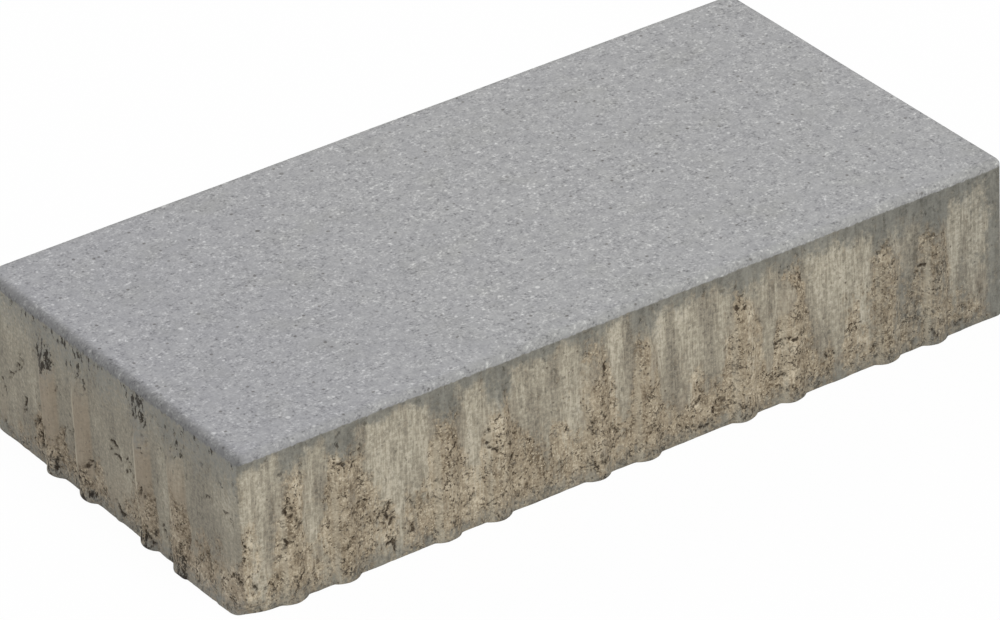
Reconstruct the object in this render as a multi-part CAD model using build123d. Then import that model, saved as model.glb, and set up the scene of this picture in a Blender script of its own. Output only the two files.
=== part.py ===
"""A rectangular concrete paving stone, pressed as one piece, with part-round spacer ribs on its four sides.

Millimetres. The origin is the centre of the bed face, +X runs along the stone and +Z points up.
"""

import os

from build123d import *

# The body between the ribs. With one joint each way it fills a laying module of 400 x 200 mm.
body_length = 397.0
body_width = 197.0
thickness = 78.0
corner_radius = 4.0  # upright corners
top_edge_radius = 2.5  # rounded arris all round the wearing face

# One spacer rib: an upright round column, mostly sunk in the side, with a tapered nose at its top.
rib_radius = 9.0
rib_projection = 3.0  # how far the rib stands out of the side, which is the width of the joint
rib_top_gap = 9.0  # from the wearing face down to the tip of the nose
rib_nose_height = 19.0  # from the tip down to the full section
rib_nose_overrun = 1.0  # how far the nose runs on, above its tip, inside the body

# The ribs stand in pairs, spread evenly along each side.
pair_spacing = 26.0  # between the two ribs of a pair
pair_margin = 34.0  # least distance from a corner to the middle of a pair
long_side_pitch = 77.0  # from one pair to the next on a long side
end_side_pitch = 74.0  # from one pair to the next on an end

# The long sides' pairs are off centre, so that the next stone's ribs stand in the gaps of the pairs.
interlock_shift = pair_spacing / 4


def stone_body():
    """The plain block, with round upright corners and a round arris on top."""
    block = Box(
        body_length,
        body_width,
        thickness,
        align=(Align.CENTER, Align.CENTER, Align.MIN),
    )
    block = fillet(block.edges().filter_by(Axis.Z), corner_radius)
    wearing_face = block.faces().sort_by(Axis.Z)[-1]
    return fillet(wearing_face.edges(), top_edge_radius)


def spacer_rib():
    """One rib about the Z axis: a round column with a cone for its nose, turned from its half profile."""
    tip_height = thickness - rib_top_gap
    shoulder_height = tip_height - rib_nose_height
    nose_top_height = tip_height + rib_nose_overrun
    nose_slope = rib_projection / rib_nose_height
    nose_top_radius = rib_radius - rib_projection - nose_slope * rib_nose_overrun
    half_profile = Polyline(
        (0, 0),
        (rib_radius, 0),
        (rib_radius, shoulder_height),
        (nose_top_radius, nose_top_height),
        (0, nose_top_height),
        close=True,
    )
    return revolve(Plane.XZ * make_face(half_profile), Axis.Z)


def rib_places(side_length, pair_pitch):
    """Distances of the ribs from the middle of a side, with as many pairs as fit between its corners."""
    pairs = int((side_length - 2 * pair_margin) // pair_pitch) + 1
    first_pair = -pair_pitch * (pairs - 1) / 2
    return [
        first_pair + pair_pitch * pair + half * pair_spacing / 2
        for pair in range(pairs)
        for half in (-1, 1)
    ]


def side_ribs():
    """The ribs of all four sides. Half a turn of the stone brings each side onto the opposite one."""
    axis_depth = rib_radius - rib_projection
    long_side = [
        Pos(along - interlock_shift, axis_depth - body_width / 2)
        for along in rib_places(body_length, long_side_pitch)
    ]
    end_side = [
        Pos(axis_depth - body_length / 2, along)
        for along in rib_places(body_width, end_side_pitch)
    ]
    rib = spacer_rib()
    return [
        Rot(Z=turn) * place * rib
        for turn in (0, 180)
        for place in long_side + end_side
    ]


paving_stone = stone_body().fuse(*side_ribs()).clean()
paving_stone.label = "paving_stone"

os.makedirs("parts", exist_ok=True)
export_step(paving_stone, "parts/paving_stone.step")
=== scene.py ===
"""The looks of a concrete paving stone: one closed, worn surface over its solid, on a pale floor.

Metres, in the frame of the solid: the origin is the centre of the bed face, +X runs along the stone
and +Z points up. The side facing -Y is the front and the side facing -X is the near end.
"""

import math

import bpy
import numpy as np
from mathutils import Matrix, Vector


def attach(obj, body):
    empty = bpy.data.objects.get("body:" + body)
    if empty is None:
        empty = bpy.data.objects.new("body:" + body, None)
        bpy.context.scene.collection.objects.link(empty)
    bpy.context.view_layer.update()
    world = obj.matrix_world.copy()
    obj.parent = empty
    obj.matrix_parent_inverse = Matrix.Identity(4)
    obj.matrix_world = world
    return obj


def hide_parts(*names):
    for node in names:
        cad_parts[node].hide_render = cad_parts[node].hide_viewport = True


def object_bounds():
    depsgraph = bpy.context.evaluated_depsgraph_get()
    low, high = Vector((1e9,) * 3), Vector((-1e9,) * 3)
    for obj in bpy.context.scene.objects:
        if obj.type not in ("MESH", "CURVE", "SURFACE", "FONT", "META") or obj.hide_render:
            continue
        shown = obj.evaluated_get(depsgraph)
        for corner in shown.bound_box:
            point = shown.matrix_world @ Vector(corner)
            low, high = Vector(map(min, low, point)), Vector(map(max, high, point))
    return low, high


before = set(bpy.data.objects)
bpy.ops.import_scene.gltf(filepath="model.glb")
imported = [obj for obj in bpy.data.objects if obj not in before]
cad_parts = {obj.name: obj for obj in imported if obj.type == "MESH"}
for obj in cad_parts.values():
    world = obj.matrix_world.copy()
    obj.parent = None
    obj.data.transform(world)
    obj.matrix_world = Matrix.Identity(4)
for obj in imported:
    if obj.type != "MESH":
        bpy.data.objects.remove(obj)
cad_low, cad_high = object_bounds()

MM = 0.001

# The stone's sizes, as in its solid
rib_projection = 3.0 * MM
stone_length = cad_high.x - cad_low.x - 2 * rib_projection
stone_width = cad_high.y - cad_low.y - 2 * rib_projection
stone_height = cad_high.z - cad_low.z
corner_radius = 4.0 * MM
rib_radius = 9.0 * MM
rib_top_gap = 9.0 * MM
rib_nose_height = 19.0 * MM
pair_spacing = 26.0 * MM
long_side_pitch = 77.0 * MM
end_side_pitch = 74.0 * MM
long_side_pairs = 5
end_side_pairs = 2
interlock_shift = pair_spacing / 4

# Rounding of the edges: the arris is crisper along the long sides than on the ends
long_arris = 1.8 * MM
end_arris = 3.4 * MM
bed_edge_radius = 0.8 * MM

# The grid of the surface: columns round the stone, rows up its sides, and caps with a quarter of the columns
long_columns = 400
end_columns = 200
wall_rows = 61
arris_rows = 6
bed_edge_rows = 3
corner_steps = 24
cap_inset = 9.0 * MM

# Relief of the worn sides
pit_chains = 260
pit_seed = 5
pit_depth = 1.5 * MM
tear_depth = 0.3 * MM
crumb_depth = 0.25 * MM
wave_depth = 0.25 * MM

# The foot that is swollen out beside the front corner of the near end
swollen_from = 54.0 * MM
swollen_height = 26.0 * MM
foot_swell = 2.6 * MM

# Wear of the top, of the bed, and of the chipped front lower corner
top_sink = 0.15 * MM
bed_lift = 0.1 * MM
chip_reach = np.array([14, 7, 9]) * MM
chip_depth = 4.0 * MM

# The near end's four ribs, from the back to the front: how far their skin and grime reach, and how strong
# their grime and their painted highlight are
rib_skin_depth = np.array([58, 58, 54, 38]) * MM
rib_grime_depth = np.array([20, 9, 8, 14]) * MM
rib_grime_strength = np.array([0.72, 0.42, 0.85, 0.35])
rib_highlight_strength = np.array([0.6, 0.8, 1.0, 0.5])


def smooth_step(low, high, value):
    """0 below low, 1 above high, and a smooth cubic between them."""
    part = np.clip((value - low) / (high - low), 0, 1)
    return part * part * (3 - 2 * part)


def lattice_value(cells, seed):
    """A repeatable number from 0 to 1 for each lattice cell: its coordinates times odd factors, stirred."""
    factors = np.array([374761393, 668265263, 2147483647], np.uint32)
    mixed = (cells.astype(np.uint32) * factors).sum(axis=-1, dtype=np.uint32)
    mixed = mixed + np.uint32(seed * 40503)
    for shift, factor in ((15, 2246822519), (13, 3266489917)):
        mixed = (mixed ^ (mixed >> np.uint32(shift))) * np.uint32(factor)
    return (mixed ^ (mixed >> np.uint32(16))) / 2.0**32


def lattice_noise(points, seed):
    """Noise from 0 to 1: the values of the eight lattice cells round a point, blended by smooth steps."""
    base = np.floor(points)
    part = points - base
    blend = part * part * (3 - 2 * part)
    cells = base.astype(np.int64)
    total = np.zeros(points.shape[:-1])
    for corner in np.ndindex(2, 2, 2):
        weight = np.prod(np.where(corner, blend, 1 - blend), axis=-1)
        total += weight * lattice_value(cells + np.array(corner), seed)
    return total


def layered_noise(points, size, seed, layers=3, stretch=1.0):
    """Noise from -1 to 1, drawn out upright by stretch: layers of half the size and half the share each."""
    scaled = points / (np.array([1.0, 1.0, stretch]) * size)
    total = np.zeros(points.shape[:-1])
    share = 1.0
    for layer in range(layers):
        total += share * (2 * lattice_noise(scaled * 2**layer, seed + layer) - 1)
        share /= 2
    return total / (2 - 2 * share)


def body_plan():
    """The body's plan, counter-clockwise from the middle of its front left corner.

    Four corner arcs, joined by straight sides, are sampled at even steps along each side. Gives each column's
    plan point, outward direction and side, and its distances along that side and round the stone.
    """
    half_x = stone_length / 2 - corner_radius
    half_y = stone_width / 2 - corner_radius
    front_left, front_right = (-half_x, -half_y), (half_x, -half_y)
    back_right, back_left = (half_x, half_y), (-half_x, half_y)
    arcs = (
        (225, 270, front_left),
        (270, 360, front_right),
        (360, 450, back_right),
        (450, 540, back_left),
        (540, 585, front_left),
    )
    turns = [np.radians(np.linspace(start, end, corner_steps)) for start, end, _ in arcs]
    outward = np.concatenate([np.stack([np.cos(t), np.sin(t)], -1) for t in turns])
    centres = np.concatenate([np.tile(arc[2], (corner_steps, 1)) for arc in arcs])
    points = centres + corner_radius * outward
    reach = np.append(0, np.cumsum(np.linalg.norm(np.diff(points, axis=0), axis=1)))
    long_run = 2 * half_x + math.pi / 2 * corner_radius
    end_run = reach[-1] / 2 - long_run
    runs = ((long_run, long_columns), (end_run, end_columns)) * 2
    along = np.concatenate([(np.arange(n) / n - 0.5) * run for run, n in runs])
    starts = np.append(0, np.cumsum([run for run, _ in runs]))
    side = np.repeat(np.arange(4), [n for _, n in runs])
    station = np.concatenate([starts[i] + np.arange(n) / n * run for i, (run, n) in enumerate(runs)])
    plan = np.stack([np.interp(station, reach, points[:, axis]) for axis in (0, 1)], -1)
    facing = np.stack([np.interp(station, reach, outward[:, axis]) for axis in (0, 1)], -1)
    facing /= np.linalg.norm(facing, axis=1, keepdims=True)
    half_run = np.array([run / 2 for run, _ in runs])[side]
    return {
        "plan": plan,
        "outward": facing,
        "along": along,
        "from_start": half_run + along,
        "from_finish": half_run - along,
        "side": side,
        "station": station,
        "perimeter": reach[-1],
    }


def wall_section(arris):
    """Inset and height of each row of the wall for each column's arris radius.

    A small round below, the straight wall, and a quarter circle of the arris above, one row after another.
    """
    bed = np.radians(np.linspace(0, 90, bed_edge_rows, endpoint=False))[:, None]
    turn = np.radians(np.linspace(0, 90, arris_rows + 1))[1:, None]
    share = np.linspace(0, 1, wall_rows)[:, None]
    straight = bed_edge_radius + share * (stone_height - arris - bed_edge_radius)
    inset = np.concatenate(
        [bed_edge_radius * (1 - np.sin(bed)) + 0 * arris, 0 * straight, arris * (1 - np.cos(turn))]
    )
    height = np.concatenate(
        [bed_edge_radius * (1 - np.cos(bed)) + 0 * arris, straight, stone_height - arris * (1 - np.sin(turn))]
    )
    return inset, height


def rib_middles(pairs, pitch, shift):
    """Distances of a side's ribs from its middle: half the spacing to either side of evenly set pairs."""
    pair_middles = pitch * (np.arange(pairs) - (pairs - 1) / 2) + shift
    return np.sort(np.concatenate([pair_middles - pair_spacing / 2, pair_middles + pair_spacing / 2]))


def nearest_rib(along, is_end):
    """For each column, its signed distance from the middle of the nearest rib, and that rib's number."""
    long_ribs = rib_middles(long_side_pairs, long_side_pitch, -interlock_shift)
    end_ribs = rib_middles(end_side_pairs, end_side_pitch, 0)
    to_long = along[:, None] - long_ribs
    to_end = along[:, None] - end_ribs
    long_rib = np.abs(to_long).argmin(axis=1)
    end_rib = np.abs(to_end).argmin(axis=1)
    columns = np.arange(len(along))
    offset = np.where(is_end, to_end[columns, end_rib], to_long[columns, long_rib])
    return offset, np.where(is_end, end_rib, long_rib)


def rib_relief(offset, height):
    """How far the ribs stand out: a round column sunk in the side, tapering to its tip like a cone.

    At each height the column is a circle. The relief is the part of that circle beyond the side, with
    the crease at its foot softened.
    """
    axis_depth = rib_radius - rib_projection
    tip = stone_height - rib_top_gap
    rise = np.clip((tip - height) / rib_nose_height, None, 1)
    circle = axis_depth + rib_projection * rise
    beyond = np.sqrt(np.clip(circle**2 - offset**2, 0, None)) - axis_depth
    soft = 0.35 * MM
    return np.clip((beyond + np.sqrt(beyond**2 + soft**2)) / 2 - soft / 4, 0, rib_projection)


def pit_field(station, height, perimeter, chains, seed):
    """Depth share of the pits, from 0 to 1: short crooked chains of round holes of mixed sizes.

    A chain starts anywhere on the wall, more often low down, and turns a little at each link. A hole's
    depth falls off with the square of the distance from its middle.
    """
    rng = np.random.default_rng(seed)
    links = 5
    starts = np.stack([rng.uniform(0, perimeter, chains), stone_height * rng.beta(1.1, 2.0, chains)], -1)
    heading = rng.uniform(0, 2 * math.pi, (chains, 1)) + rng.normal(0, 0.8, (chains, links)).cumsum(axis=1)
    stride = rng.uniform(1.2, 2.6, (chains, links)) * MM
    steps = np.stack([np.cos(heading), np.sin(heading)], -1) * stride[..., None]
    places = starts[:, None] + steps.cumsum(axis=1)
    radius = rng.uniform(0.7, 1.5, (chains, links)) * MM * rng.uniform(0.7, 1.2, (chains, 1))
    field = np.zeros(np.broadcast(station, height).shape)
    for chain, sizes in zip(places, radius):
        across = np.mod(station[..., None] - chain[:, 0] + perimeter / 2, perimeter) - perimeter / 2
        up = height[..., None] - chain[:, 1]
        share = 1 - (across**2 + up**2) / sizes**2
        field = np.maximum(field, np.clip(share, 0, None).max(axis=-1))
    return field


def side_marks(wall, body, offset, rib):
    """How the sides look at each point, as marks from about 0 to 1.

    Skin is the smooth cement that the mould left. Between the ribs of the long sides it reaches far down in
    pale streaks. Over the ribs it is short and dark, and below them the core is torn open. On the ends it is
    nearly whole, with black grime on the noses of the ribs and torn patches at their feet. Each mark is made
    of smooth steps of the depth below the top and of the distances from a rib and from a corner, with noise
    added to make its border ragged.
    """
    height = wall[..., 2]
    depth = stone_height - height
    flat = wall * np.array([1.0, 1.0, 0.0])
    to_finish = body["from_finish"]
    is_end = body["side"] % 2 == 1
    on_end = np.where(is_end, 1.0, 0.0)
    on_long = 1 - on_end
    end_rib = rib % (2 * end_side_pairs)
    wander = layered_noise(wall, 12 * MM, seed=3, stretch=3.0)
    ragged = layered_noise(wall, 6 * MM, seed=23, layers=4, stretch=1.8)
    cloudy = layered_noise(wall, 13 * MM, seed=67, layers=3, stretch=2.5)
    on_rib = smooth_step(11 * MM, 4 * MM, np.abs(offset + 5 * MM * wander))
    on_column = smooth_step(7.4 * MM, 6.2 * MM, np.abs(offset)) * on_end

    # The first and last stretches of the long sides
    first = smooth_step(15 * MM, 8 * MM, body["from_start"] + 3 * MM * wander) * on_long
    last = smooth_step(17 * MM, 3 * MM, to_finish + 9 * MM * ragged) * on_long
    far = smooth_step(130 * MM, 10 * MM, to_finish) * on_long

    # Skin ends sooner on the ribs and at the torn foot by the front corner, and leaves islands lower down
    nose_end = (15 + 11 * layered_noise(flat, 18 * MM, seed=29, layers=2)) * MM
    nose_end = nose_end + 12 * MM * on_end * (rib % 2 == 0) + 4 * MM * far
    flat_reach = np.where(is_end, 68 * MM, 46 * MM)
    flat_reach = flat_reach + 34 * MM * layered_noise(flat, 14 * MM, seed=11, layers=3)
    torn_foot = smooth_step(52 * MM, 40 * MM, to_finish) * smooth_step(6 * MM, 16 * MM, to_finish)
    flat_reach = flat_reach - 12 * MM * torn_foot * on_end
    rib_reach = np.where(is_end, rib_skin_depth[end_rib], 1.2 * nose_end)
    reach = flat_reach + (rib_reach - flat_reach) * on_rib
    skin = smooth_step(-9 * MM, 9 * MM, reach - depth + 16 * MM * ragged)
    islands = layered_noise(wall, 9 * MM, seed=31, layers=3, stretch=3.0)
    skin = np.maximum(skin, 0.85 * smooth_step(0.1, 0.5, islands - 0.15 * on_rib))
    skin = np.maximum(skin, last)

    # Collar is the dusky skin on the noses of the ribs, under the top edge, at the far corner and at the foot
    nose = on_rib * smooth_step(9 * MM, -7 * MM, depth - nose_end + 6 * MM * ragged)
    deeper = smooth_step(270 * MM, 60 * MM, to_finish)
    rim_end = np.where(is_end, 34 * MM, (11 + 10 * deeper) * MM)
    rim = smooth_step(rim_end, 3 * MM, depth + 5 * MM * layered_noise(flat, 6 * MM, seed=37))
    collar = np.maximum(nose * (0.9 - 0.4 * on_end), rim * (1 - 0.35 * on_end))
    dim = (0.12 + 0.3 * (1 - skin) + 0.8 * cloudy) * far
    # The sides darker towards the bottom, within 14 mm of the bed
    low_darkening = 0.62 * smooth_step(14 * MM, 1 * MM, height)
    collar = np.maximum(collar, np.maximum(last, np.maximum(dim, low_darkening)))
    shade = far * (0.9 + 0.3 * cloudy) * (1 - 0.7 * last)

    # Cream is how pale the sides are: upright bands, with blotches on the ends, and a painted highlight
    # beside the front corner
    bands = layered_noise(wall, 10 * MM, seed=43, layers=4, stretch=9.0)
    lit = smooth_step(-0.5, 0.5, bands - 0.2 * on_rib) * (1.06 - 0.5 * smooth_step(38 * MM, 72 * MM, depth))
    blotch = layered_noise(wall, 11 * MM, seed=59, layers=3, stretch=1.5)
    cream = lit + (0.17 + 0.5 * lit + 0.55 * blotch - lit) * on_end
    cream = cream - 0.12 * far
    # Painted highlight: the first stretch of each long side, beside the corner where it starts, made paler
    cream = np.maximum(cream, 0.75 * first)

    # Grime sits on the noses and feet of the ribs and runs down beside them, and the ends are blackened just
    # under their top edge
    strength = rib_grime_strength[end_rib] * on_end + 0.1
    smear = layered_noise(wall, 5 * MM, seed=71, layers=2, stretch=2.0)
    upper = smooth_step(13 * MM, 3 * MM, np.abs(depth - rib_grime_depth[end_rib])) * strength
    trickle = smooth_step(2.2 * MM, 0.8 * MM, np.abs(offset - 4 * MM + 3 * MM * wander)) * strength * on_end
    trickle = 0.8 * trickle * smooth_step(5 * MM, 8 * MM, depth) * smooth_step(32 * MM, 16 * MM, depth)
    foot = smooth_step(20 * MM, 4 * MM, height) * (0.3 + 0.48 * on_end)
    foot = foot * np.where(is_end & (end_rib == 3), 1.3, 1.0)
    end_top_darkening = 0.46 * smooth_step(11 * MM, 3 * MM, depth) * on_end
    grime = np.maximum(on_rib * (upper + foot), np.maximum(trickle, end_top_darkening)) * (0.85 + 0.7 * smear)

    # A painted highlight: the pale line down the left flank of each rib, where that flank catches the light.
    # Tan is the warm tone of the ribs and of stains low down
    side_of_rib = np.abs(offset + np.where(is_end, 3.6 * MM, 5.2 * MM))
    rib_highlight = smooth_step(1.7 * MM, 0.6 * MM, side_of_rib) * smooth_step(20 * MM, 34 * MM, depth)
    rib_highlight = rib_highlight * np.where(is_end, rib_highlight_strength[end_rib], 0.5) * (0.8 + 0.9 * ragged)
    tan = 0.7 * on_rib + (on_column - 0.7 * on_rib) * on_end
    tan = tan * smooth_step(14 * MM, 36 * MM, depth)
    stain = smooth_step(0.0, 0.5, ragged) * smooth_step(40 * MM, 75 * MM, depth)
    tan = np.maximum(tan, stain * (1 - 0.5 * on_end))
    return {
        "skin": skin,
        "cream": cream,
        "collar": collar,
        "grime": grime,
        "rib_highlight": rib_highlight,
        "tan": tan,
        "calm": on_end + 0 * depth,
        "shade": shade,
    }


def wall_surface():
    """The four sides as one grid: the section carried round the plan, with ribs, torn skin and pits.

    Every point moves along the outward direction of its column: out by the ribs and at the swollen foot, in
    where the smooth skin is torn off, and further in at the pits, but never out past the ribs. Gives the
    points and the marks that colour them.
    """
    body = body_plan()
    end_share = smooth_step(0.25, 0.75, body["outward"][:, 0] ** 2)
    arris = long_arris + (end_arris - long_arris) * end_share
    inset, height = wall_section(arris)
    wall = np.empty((*height.shape, 3))
    wall[..., :2] = body["plan"] - inset[..., None] * body["outward"]
    wall[..., 2] = height
    depth = stone_height - height
    offset, rib = nearest_rib(body["along"], body["side"] % 2 == 1)
    marks = side_marks(wall, body, offset, rib)
    rough = 1 - marks["skin"]
    pits = pit_field(body["station"] + 0 * depth, height, body["perimeter"], pit_chains, pit_seed)
    open_end = (0.92 - 0.55 * smooth_step(38 * MM, 22 * MM, depth)) * end_share
    open_long = 0.76 + 0.2 * smooth_step(220 * MM, 80 * MM, body["from_start"])
    marks["pit"] = pits * np.maximum(open_long * smooth_step(0.0, 0.7, rough), open_end)
    marks["pit"] = marks["pit"] * smooth_step(1 * MM, 5 * MM, height)
    grey_end = 2.3 - 0.6 * end_share
    grey_start = 1.5 - 1.0 * end_share
    marks["wearing"] = smooth_step(grey_end, grey_start, depth / arris)

    lumps = layered_noise(wall, 13 * MM, seed=83, layers=2)
    crumbs = layered_noise(wall, 4 * MM, seed=91, layers=2)
    wave = layered_noise(wall, 60 * MM, seed=97, layers=2)
    move = rib_relief(offset, height) + wave_depth * (wave - 1)
    move -= rough * (tear_depth * (1 + lumps) + crumb_depth * crumbs)
    move -= pit_depth * marks["pit"]
    to_front = np.where(body["side"] == 3, body["from_finish"], stone_width)
    swell = smooth_step(swollen_from, 38 * MM, to_front) * smooth_step(1 * MM, 9 * MM, to_front)
    move += foot_swell * swell * smooth_step(swollen_height, 2 * MM, height)
    move = np.minimum(move, rib_projection)
    wall[..., :2] += move[..., None] * body["outward"]
    return wall, marks


def cap_grid(height):
    """A level rectangular grid inside the plan, at one height, with a quarter of the wall's columns."""
    half_x = stone_length / 2 - cap_inset
    half_y = stone_width / 2 - cap_inset
    x, y = np.meshgrid(
        np.linspace(-half_x, half_x, long_columns // 4 + 1),
        np.linspace(-half_y, half_y, end_columns // 4 + 1),
        indexing="ij",
    )
    return np.stack([x, y, np.full_like(x, height)], -1)


def cap_rim(numbers):
    """The vertex numbers round the edge of a cap, counter-clockwise from its front left corner."""
    return np.concatenate(
        [numbers[:-1, 0], numbers[-1, :-1], numbers[:0:-1, -1], numbers[0, :0:-1]]
    )


def grid_faces(numbers):
    """One four-sided face for each cell of a grid of vertex numbers."""
    return np.stack(
        [numbers[:-1, :-1], numbers[1:, :-1], numbers[1:, 1:], numbers[:-1, 1:]], -1
    ).reshape(-1, 4)


def seam_faces(ring, rim):
    """Three triangles for each pair of ring columns, joining the ring to a rim of half as many vertices."""
    even, odd, next_even = ring[0::2], ring[1::2], np.roll(ring[0::2], -1)
    next_rim = np.roll(rim, -1)
    return np.concatenate(
        [
            np.stack([even, odd, rim], -1),
            np.stack([odd, next_rim, rim], -1),
            np.stack([odd, next_even, next_rim], -1),
        ]
    )


def halfway_ring(row, rim):
    """A ring of half the wall's columns, midway between the wall's last row and the edge of a cap."""
    between = np.empty((2 * len(rim), 3))
    between[0::2] = rim
    between[1::2] = (rim + np.roll(rim, -1, axis=0)) / 2
    return (row[::2] + between) / 2


def wear_down(points):
    """Wear of the whole surface: a top that sinks in slow waves, a chip and an uneven edge of the bed.

    The chip pushes the foot of the front left corner in, less and less out to an ellipsoid round the corner.
    """
    swell = layered_noise(points, 45 * MM, seed=101, layers=3)
    near_top = smooth_step(stone_height - 5 * MM, stone_height, points[:, 2])
    points[:, 2] -= top_sink * (1 - swell) * near_top
    front_left_foot = np.array([-stone_length / 2, -stone_width / 2, 0])
    to_foot = np.linalg.norm((points - front_left_foot) / chip_reach, axis=1)
    points[:, 1] += chip_depth * smooth_step(1, 0, to_foot)
    sag = layered_noise(points, 12 * MM, seed=113, layers=3)
    points[:, 2] += bed_lift * (1 + sag) * smooth_step(2 * bed_edge_radius, 0, points[:, 2])
    return points


def stone_surface():
    """The closed surface: the wall, and a cap above and below, each joined to it by a ring between them."""
    wall, marks = wall_surface()
    wall_numbers = np.arange(wall[..., 0].size).reshape(wall.shape[:2])
    around = np.concatenate([wall_numbers, wall_numbers[:, :1]], axis=1)
    points = [wall.reshape(-1, 3)]
    quads = [grid_faces(around.T)]
    triangles = []
    shares = {name: [values.ravel()] for name, values in marks.items()}
    cap_marks = {"skin": (0, 1), "collar": (0, 1), "wearing": (0, 1)}
    count = wall_numbers.size
    for is_top, row in enumerate((0, -1)):
        cap = cap_grid(stone_height * is_top)
        rim_of_cap = cap_rim(np.arange(cap[..., 0].size).reshape(cap.shape[:2]))
        ring = halfway_ring(wall[row], cap.reshape(-1, 3)[rim_of_cap])
        ring_numbers = count + np.arange(len(ring))
        cap_numbers = ring_numbers[-1] + 1 + np.arange(cap[..., 0].size).reshape(cap.shape[:2])
        strips = [seam_faces(wall_numbers[row], ring_numbers), seam_faces(ring_numbers, cap_rim(cap_numbers))]
        turn = slice(None) if is_top else slice(None, None, -1)
        quads.append(grid_faces(cap_numbers)[:, turn])
        triangles.extend(strip[:, turn] for strip in strips)
        points.extend([ring, cap.reshape(-1, 3)])
        added = len(ring) + cap_numbers.size
        for name, values in shares.items():
            values.append(np.full(added, float(cap_marks.get(name, (0, 0))[is_top])))
        count += added
    points = wear_down(np.concatenate(points))
    shares = {name: np.concatenate(values) for name, values in shares.items()}
    return points, np.concatenate(quads), np.concatenate(triangles), shares


def make_stone():
    """The stone as one mesh, with its marks as attributes of its points."""
    points, quads, triangles, marks = stone_surface()
    mesh = bpy.data.meshes.new("paving_stone_surface")
    mesh.from_pydata(points.tolist(), [], quads.tolist() + triangles.tolist())
    mesh.polygons.foreach_set("use_smooth", np.ones(len(mesh.polygons), bool))
    for name, values in marks.items():
        layer = mesh.attributes.new(name, "FLOAT", "POINT")
        layer.data.foreach_set("value", values.astype(np.float32))
    mesh.update()
    stone = bpy.data.objects.new("weathered_stone", mesh)
    bpy.context.scene.collection.objects.link(stone)
    return stone


def tint(red, green, blue):
    """A colour as it looks on a screen, from 0 to 255, in the linear values that a shader takes."""
    screen = np.array([red, green, blue]) / 255
    linear = np.where(screen <= 0.04045, screen / 12.92, ((screen + 0.055) / 1.055) ** 2.4)
    return (*linear.tolist(), 1.0)


class Finish:
    """The nodes of one material, added one by one and joined by their sockets."""

    def __init__(self, name):
        """An empty material."""
        self.material = bpy.data.materials.new(name)
        self.material.use_nodes = True
        self.tree = self.material.node_tree
        self.tree.nodes.clear()

    def add(self, kind, sockets, output=0, **settings):
        """One of the outputs of a new node, whose sockets are set, or joined to other nodes."""
        node = self.tree.nodes.new(kind)
        for name, value in settings.items():
            setattr(node, name, value)
        for name, value in sockets.items():
            if isinstance(value, bpy.types.NodeSocket):
                self.tree.links.new(value, node.inputs[name])
            else:
                node.inputs[name].default_value = value
        return node.outputs[output]

    def show(self, shader):
        """Give the material its surface."""
        end = self.tree.nodes.new("ShaderNodeOutputMaterial")
        self.tree.links.new(shader, end.inputs["Surface"])

    def place(self):
        """The place of a point in the stone's own frame."""
        return self.add("ShaderNodeTexCoord", {}, "Object")

    def mark(self, name):
        """One of the marks that the mesh carries at its points."""
        return self.add("ShaderNodeAttribute", {}, "Fac", attribute_name=name)

    def coordinate(self, place, axis):
        """The place along one axis."""
        return self.add("ShaderNodeSeparateXYZ", {0: place}, axis)

    def stretched(self, place, scale):
        """The place times a scale along each axis, where less than 1 draws a pattern out."""
        return self.add("ShaderNodeMapping", {"Vector": place, "Scale": scale})

    def noise(self, place, size, detail, roughness):
        """Soft noise from 0 to 1, with features of about one size and finer ones by detail and roughness."""
        sockets = {"Vector": place, "Scale": 1 / size, "Detail": detail, "Roughness": roughness}
        return self.add("ShaderNodeTexNoise", sockets, "Fac")

    def cells(self, place, size, output="Distance"):
        """Round cells of about one size: the distance from their middles, or a number for each of them."""
        return self.add("ShaderNodeTexVoronoi", {"Vector": place, "Scale": 1 / size}, output)

    def sum(self, first, second):
        """One number plus another."""
        return self.add("ShaderNodeMath", {0: first, 1: second}, operation="ADD")

    def times(self, first, second):
        """One number times another."""
        return self.add("ShaderNodeMath", {0: first, 1: second}, operation="MULTIPLY")

    def larger(self, first, second):
        """The larger of two numbers."""
        return self.add("ShaderNodeMath", {0: first, 1: second}, operation="MAXIMUM")

    def away_from(self, middle, value):
        """How far a number lies from a middle one, to either side."""
        apart = self.add("ShaderNodeMath", {0: value, 1: middle}, operation="SUBTRACT")
        return self.add("ShaderNodeMath", {0: apart}, operation="ABSOLUTE")

    def step(self, value, low, high, start=0.0, end=1.0):
        """A smooth step from start to end while the value goes from low to high."""
        sockets = {"Value": value, "From Min": low, "From Max": high, "To Min": start, "To Max": end}
        return self.add("ShaderNodeMapRange", sockets, interpolation_type="SMOOTHSTEP")

    def mix(self, share, first, second, blend="MIX"):
        """The first colour with a share of the second, or multiplied by a share of it."""
        sockets = {0: share, 6: first, 7: second}
        return self.add("ShaderNodeMix", sockets, 2, data_type="RGBA", blend_type=blend)

    def blend(self, share, first, second):
        """The first number with a share of the second."""
        return self.add("ShaderNodeMix", {0: share, 2: first, 3: second}, 0, data_type="FLOAT")

    def ramp(self, value, stops):
        """The colour at a value on a line of colours."""
        node = self.tree.nodes.new("ShaderNodeValToRGB")
        elements = node.color_ramp.elements
        while len(elements) < len(stops):
            elements.new(1.0)
        for element, (position, colour) in zip(elements, stops):
            element.position = position
            element.color = colour
        self.tree.links.new(value, node.inputs["Fac"])
        return node.outputs["Color"]


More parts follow.
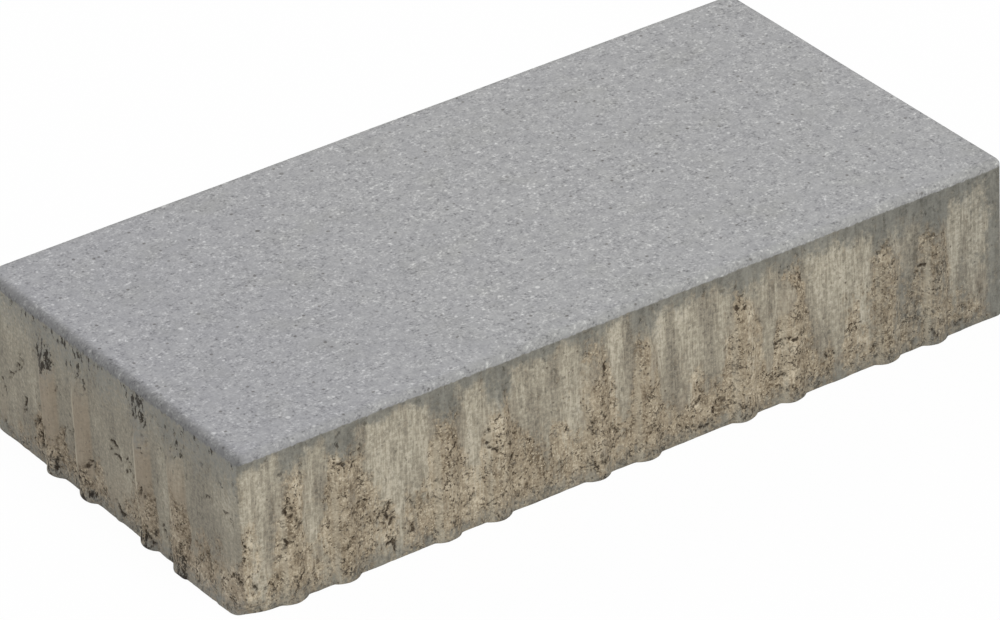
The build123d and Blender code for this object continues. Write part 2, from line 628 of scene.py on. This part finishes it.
def wearing_face(f, place):
    """Colour and relief of the top: cool grey with fine grain, pale and dark specks and faint clouds, and
    painted shade towards the near end.
    """
    grain = f.noise(place, 1.2 * MM, 2.0, 0.6)
    clumps = f.noise(place, 3.4 * MM, 2.0, 0.5)
    tone = f.sum(f.times(grain, 0.6), f.times(clumps, 0.4))
    calm_spot = f.step(f.noise(place, 4.2 * MM, 2.0, 0.5), 0.46, 0.62, 0, 0.5)
    tone = f.blend(calm_spot, tone, 0.5)
    colour = f.ramp(
        tone,
        [
            (0.30, tint(113, 113, 114)),
            (0.44, tint(158, 158, 159)),
            (0.56, tint(176, 176, 176)),
            (0.70, tint(219, 219, 217)),
        ],
    )
    cloud = f.noise(place, 26 * MM, 3.0, 0.6)
    colour = f.mix(f.step(cloud, 0.48, 0.75), colour, tint(249, 249, 247), "MULTIPLY")
    drift = f.noise(place, 11 * MM, 2.0, 0.6)
    colour = f.mix(f.step(drift, 0.35, 0.65), colour, tint(247, 247, 248), "MULTIPLY")
    speck = f.cells(place, 2.4 * MM, "Color")
    near = f.step(f.cells(place, 2.4 * MM), 0.42, 0.2)
    pale = f.times(near, f.step(speck, 0.86, 0.9))
    dark = f.times(near, f.step(speck, 0.14, 0.1))
    colour = f.mix(f.times(pale, 0.65), colour, tint(218, 218, 216))
    colour = f.mix(f.times(dark, 0.65), colour, tint(94, 91, 87))
    dot = f.cells(place, 4.4 * MM, "Color")
    near_dot = f.step(f.cells(place, 4.4 * MM), 0.32, 0.16)
    colour = f.mix(f.times(near_dot, f.step(dot, 0.93, 0.97, 0, 0.65)), colour, tint(222, 222, 220))
    colour = f.mix(f.times(near_dot, f.step(dot, 0.1, 0.06, 0, 0.75)), colour, tint(92, 90, 88))
    along = f.coordinate(place, "X")
    # Painted shade on the top: darker towards the near end, and darker still over the last 6 mm before its
    # edge
    near_half_shade = f.step(along, 0, -stone_length / 2)
    colour = f.mix(near_half_shade, colour, tint(248, 248, 251), "MULTIPLY")
    near_end_shade = f.step(along, 6 * MM - stone_length / 2, 0.5 * MM - stone_length / 2)
    colour = f.mix(near_end_shade, colour, tint(191, 191, 188), "MULTIPLY")
    across = f.away_from(0, f.coordinate(place, "Y"))
    long_rims = f.step(across, stone_width / 2 - 5 * MM, stone_width / 2)
    colour = f.mix(long_rims, colour, tint(245, 245, 242), "MULTIPLY")
    height = f.sum(f.times(tone, 0.4), f.times(dark, -0.2))
    return colour, height


def torn_core(f, place):
    """Colour and relief where the skin is torn: brown grit, pale grains, dark crooked cracks and pores."""
    grit = f.noise(place, 1.3 * MM, 4.0, 0.7)
    lumps = f.noise(place, 6 * MM, 2.0, 0.5)
    tone = f.sum(f.times(grit, 0.65), f.times(lumps, 0.35))
    tone = f.sum(tone, f.step(f.mark("cream"), 0, 1, -0.05, 0.05))
    colour = f.ramp(
        tone,
        [
            (0.36, tint(108, 95, 77)),
            (0.44, tint(150, 137, 116)),
            (0.54, tint(171, 158, 136)),
            (0.64, tint(206, 194, 171)),
        ],
    )
    winding = f.away_from(0.5, f.noise(place, 4.6 * MM, 4.0, 0.6))
    gate = f.step(f.noise(place, 7 * MM, 3.0, 0.6), 0.47, 0.57)
    crack = f.times(f.step(winding, 0.034, 0.012), gate)
    crack = f.times(crack, f.step(grit, 0.6, 0.45))
    near = f.step(f.sum(f.cells(place, 1.35 * MM), grit), 0.92, 0.72)
    pore = f.times(near, f.step(f.cells(place, 1.35 * MM, "Color"), 0.38, 0.28))
    pore = f.times(pore, f.step(f.noise(place, 9 * MM, 2.0, 0.5), 0.42, 0.58, 0.3, 1.0))
    hollow = f.larger(crack, pore)
    grain = f.step(f.cells(place, 1.05 * MM), 0.45, 0.27)
    grain = f.times(grain, f.step(f.cells(place, 1.05 * MM, "Color"), 0.64, 0.72, 0, 0.9))
    colour = f.mix(grain, colour, tint(196, 184, 160))
    colour = f.mix(f.times(hollow, 0.86), colour, tint(50, 38, 26))
    colour = f.mix(f.mark("calm"), colour, tint(238, 238, 241), "MULTIPLY")
    height = f.sum(f.times(tone, 0.9), f.times(hollow, -0.6))
    return colour, height


def cement_skin(f, place):
    """Colour and relief of the smooth skin: grey green to cream, drawn out in fine upright streaks.

    Gives the dusky colour of the collar and the streaks as well.
    """
    fine = f.noise(f.stretched(place, (1.0, 1.0, 0.1)), 1.1 * MM, 2.0, 0.6)
    broad = f.noise(f.stretched(place, (1.0, 1.0, 0.14)), 3.6 * MM, 3.0, 0.6)
    fleck = f.noise(place, 1.5 * MM, 3.0, 0.7)
    drag = f.sum(f.times(fine, 0.3), f.times(broad, 0.7))
    drag = f.blend(f.times(f.mark("calm"), 0.5), drag, 0.5)
    tone = f.sum(f.times(f.mark("cream"), 0.55), f.times(drag, 1.5))
    tone = f.sum(tone, f.step(fleck, 0.25, 0.75, -0.82, -0.2))
    colour = f.ramp(
        tone,
        [
            (0.0, tint(108, 103, 92)),
            (0.3, tint(138, 131, 117)),
            (0.6, tint(158, 151, 134)),
            (1.0, tint(193, 185, 167)),
        ],
    )
    colour = f.mix(f.times(f.mark("calm"), 0.35), colour, tint(133, 130, 121))
    colour = f.mix(f.times(f.mark("tan"), 0.55), colour, tint(153, 138, 119))
    near = f.step(f.cells(place, 2.6 * MM), 0.3, 0.15)
    pore = f.times(near, f.step(f.cells(place, 2.6 * MM, "Color"), 0.16, 0.12))
    colour = f.mix(f.times(pore, 0.7), colour, tint(76, 66, 54))
    smoke = f.sum(f.times(drag, 0.6), f.times(fleck, 0.4))
    dusk = f.mix(f.step(smoke, 0.35, 0.65), tint(101, 100, 93), tint(130, 129, 121))
    dusk = f.mix(f.times(f.mark("calm"), 0.8), dusk, tint(133, 134, 130))
    height = f.sum(f.times(drag, 0.3), f.times(pore, -0.3))
    return colour, height, dusk, drag


def concrete_finish():
    """The stone's one material: a grey grained wearing face, and sides of smooth skin, torn core and dirt."""
    f = Finish("weathered_concrete")
    place = f.place()
    face, face_height = wearing_face(f, place)
    core, core_height = torn_core(f, place)
    skin, skin_height, dusk, drag = cement_skin(f, place)
    ragged = f.step(f.noise(place, 2.2 * MM, 4.0, 0.65), 0.25, 0.75, -0.45, 0.45)
    drawn = f.step(drag, 0.3, 0.7, -0.4, 0.4)
    frayed = f.sum(f.times(ragged, 0.85), f.times(drawn, 0.6))

    skin_share = f.step(f.sum(f.mark("skin"), frayed), 0.1, 0.9)
    sides = f.mix(skin_share, core, skin)
    hair = f.noise(f.stretched(place, (1.0, 1.0, 0.1)), 0.8 * MM, 1.0, 0.5)
    lines = f.times(f.step(hair, 0.54, 0.66, 0, 0.55), f.step(f.mark("cream"), 0.2, 0.8, 0.3, 1.0))
    lines = f.times(lines, f.step(f.mark("calm"), 0, 1, 1, 0.3))
    sides = f.mix(lines, sides, tint(190, 182, 163))
    grooves = f.times(f.step(hair, 0.44, 0.3, 0, 0.3), f.step(f.mark("calm"), 0, 1, 1, 0.5))
    sides = f.mix(grooves, sides, tint(108, 99, 84))
    collar_share = f.step(f.sum(f.mark("collar"), f.times(frayed, 0.7)), 0.05, 1.0, 0, 0.9)
    sides = f.mix(collar_share, sides, dusk)
    sides = f.mix(f.mark("shade"), sides, tint(236, 238, 241), "MULTIPLY")
    # Painted highlight: a pale line down the left flank of each rib
    sides = f.mix(f.times(f.mark("rib_highlight"), 0.85), sides, tint(194, 186, 167))
    scratch = f.noise(f.stretched(place, (1.0, 1.0, 0.6)), 2.6 * MM, 4.0, 0.7)
    grime_share = f.sum(f.mark("grime"), f.step(scratch, 0.3, 0.7, -1.1, 0.5))
    sides = f.mix(f.step(grime_share, 0.22, 0.78, 0, 0.9), sides, tint(38, 32, 26))
    pit_share = f.step(f.sum(f.mark("pit"), ragged), 0.27, 0.83, 0, 0.88)
    sides = f.mix(pit_share, sides, tint(51, 40, 28))
    wearing_share = f.step(f.sum(f.mark("wearing"), f.times(ragged, 0.6)), 0.2, 0.8)
    colour = f.mix(wearing_share, sides, face)

    height = f.blend(skin_share, core_height, skin_height)
    height = f.blend(wearing_share, height, face_height)
    height = f.sum(height, f.times(pit_share, -0.6))
    normal = f.add("ShaderNodeBump", {"Height": height, "Strength": 0.8, "Distance": 0.8 * MM})
    sockets = {"Base Color": colour, "Normal": normal, "Roughness": 0.92, "Specular IOR Level": 0.25}
    f.show(f.add("ShaderNodeBsdfPrincipled", sockets))
    return f.material


def seen_directly(f):
    """1 for rays that show the floor or the backdrop itself: from the camera, a mirror or glass."""
    rays = f.tree.nodes.new("ShaderNodeLightPath").outputs
    share = rays["Is Camera Ray"]
    for name in ("Is Glossy Ray", "Is Transmission Ray"):
        share = f.larger(share, rays[name])
    return share


def make_floor():
    """A level square under the stone, pale, with part of its own white shown straight to the camera."""
    half = 6.0
    mesh = bpy.data.meshes.new("floor")
    corners = [(-half, -half, 0), (half, -half, 0), (half, half, 0), (-half, half, 0)]
    mesh.from_pydata(corners, [], [(0, 1, 2, 3)])
    floor = bpy.data.objects.new("floor", mesh)
    bpy.context.scene.collection.objects.link(floor)
    f = Finish("pale_floor")
    paint = f.add("ShaderNodeBsdfDiffuse", {"Color": (0.86, 0.86, 0.86, 1.0)})
    glow = f.add("ShaderNodeEmission", {"Color": (1.0, 1.0, 1.0, 1.0), "Strength": 1.0})
    white_share = f.times(seen_directly(f), 0.96)
    f.show(f.add("ShaderNodeMixShader", {0: white_share, 1: paint, 2: glow}))
    mesh.materials.append(f.material)


def soft_lamp(name, strength, spread, towards):
    """A lamp as far off as the sun, as broad as its spread in degrees, that shines from one direction."""
    lamp = bpy.data.lights.new(name, "SUN")
    lamp.energy = strength
    lamp.angle = math.radians(spread)
    seat = bpy.data.objects.new(name, lamp)
    seat.rotation_mode = "QUATERNION"
    seat.rotation_quaternion = Vector(towards).to_track_quat("Z", "Y")
    bpy.context.scene.collection.objects.link(seat)


def light_the_stone():
    """An even white surround, a broad key lamp from the front and a weaker one from behind the near end."""
    world = bpy.data.worlds.new("studio")
    world.use_nodes = True
    bpy.context.scene.world = world
    surround = world.node_tree.nodes["Background"].inputs
    surround["Color"].default_value = (1.0, 1.0, 1.0, 1.0)
    surround["Strength"].default_value = 0.38
    soft_lamp("key", 2.06, 35, (-0.03, -0.573, 0.82))
    soft_lamp("fill", 0.70, 35, (-0.55, 0.70, 0.45))


def place_camera():
    """A long lens above the front left corner, rolled a little, with the stone set in the frame."""
    azimuth, elevation, roll = (math.radians(angle) for angle in (-33.66, 30.39, -2.65))
    distance = 3.184
    picture_width, picture_height = 1000, 620
    focal_pixels = 7388.8
    stone_at_x, stone_at_y = 500.4, 292.6
    back = Vector(
        (
            math.sin(azimuth) * math.cos(elevation),
            -math.cos(azimuth) * math.cos(elevation),
            math.sin(elevation),
        )
    )
    level = Vector((0, 0, 1)).cross(back).normalized()
    upright = back.cross(level)
    right = math.cos(roll) * level + math.sin(roll) * upright
    up = math.cos(roll) * upright - math.sin(roll) * level
    pixel = distance / focal_pixels
    location = Vector((0, 0, stone_height / 2)) + back * distance
    location -= right * (stone_at_x - picture_width / 2) * pixel
    location -= up * (picture_height / 2 - stone_at_y) * pixel
    camera = bpy.data.cameras.new("camera")
    camera.sensor_width = 36.0
    camera.lens = focal_pixels / picture_width * camera.sensor_width
    seat = bpy.data.objects.new("camera", camera)
    seat.matrix_world = Matrix.Translation(location) @ Matrix((right, up, back)).transposed().to_4x4()
    bpy.context.scene.collection.objects.link(seat)
    bpy.context.scene.camera = seat


stone = make_stone()
stone.data.materials.append(concrete_finish())
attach(stone, "root")
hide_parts("paving_stone")
make_floor()
light_the_stone()
place_camera()
bpy.context.scene.view_settings.view_transform = "Standard"
